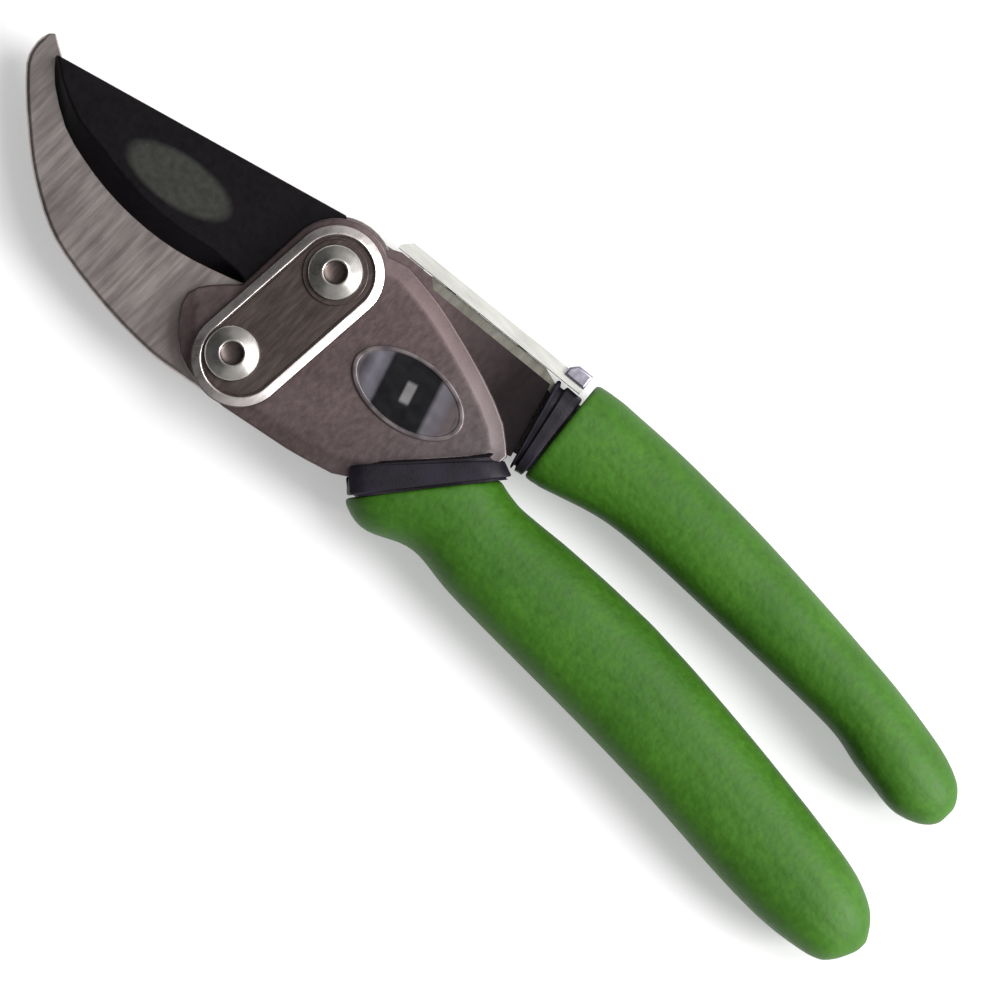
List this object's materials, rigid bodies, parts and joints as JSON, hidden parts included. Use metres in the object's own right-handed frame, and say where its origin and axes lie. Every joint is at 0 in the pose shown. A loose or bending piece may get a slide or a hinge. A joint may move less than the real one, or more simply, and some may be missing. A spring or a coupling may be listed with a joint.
{
  "type": "pruning shears",
  "caption": "Bypass pruning shears with a curved counter blade, a black cutting blade on a link plate, soft green grips, an inner return spring and a sliding latch.",
  "frame": {"origin": "on the pivot axis, at the flat underside of the pivot nut, which is the resting plane", "axes": "+X towards the handles, +Y towards the upper handle, +Z along the pivot axis, up from the resting plane to the strap side"},
  "size_m": [0.2072, 0.0517, 0.0203],
  "materials": {
    "pressed_frame": "satin mauve-grey",
    "black_coating": "smooth low-friction black coating",
    "strap_steel": "satin",
    "bright_steel": "polished",
    "badge": "satin dark field, bright rim and bands",
    "collar_plastic": "matte black",
    "grip_vinyl": "matte, fine leathery grain",
    "spring_steel": "drawn wire",
    "ground_steel": "ground across the blade",
    "bronze": "turned",
    "zinc": "bright zinc plated",
    "tab_steel": "satin"
  },
  "bodies": {
    "blade_lever": {"front_frame": "pressed_frame", "cutting_blade": "black_coating", "front_strap": "strap_steel", "front_washer": "strap_steel", "pivot_bolt": "bright_steel", "blade_rivet": "bright_steel", "badge_plate": "badge", "rear_washer": "bright_steel", "pivot_nut": "bright_steel", "lower_collar": "collar_plastic", "lower_grip": "grip_vinyl", "lower_spring_seat": "bright_steel", "return_spring": "spring_steel"},
    "hook_lever": {"rear_frame": "pressed_frame", "counter_blade": "ground_steel", "pivot_bush": "bronze", "hook_rivet_upper": "bright_steel", "hook_rivet_lower": "bright_steel", "upper_spring_seat": "bright_steel", "latch_stud_front": "bright_steel", "latch_stud_rear": "bright_steel", "upper_collar": "collar_plastic", "upper_grip": "grip_vinyl"},
    "latch": {"latch_bar": "zinc", "latch_thumb_tab": "tab_steel"}
  },
  "joints": [
    {"name": "handles_open", "type": "hinge", "parent": "blade_lever", "child": "hook_lever", "pos_m": [0, 0, 0], "axis": [0, 0, 1], "range_deg": [0, 30], "stiffness_Nm_per_rad": 0.35, "springref_deg": 40.11, "deforming": ["return_spring"]},
    {"name": "latch_slide", "type": "slide", "parent": "hook_lever", "child": "latch", "axis": [-0.9945, -0.1045, 0], "range_m": [0, 0.005]}
  ]
}
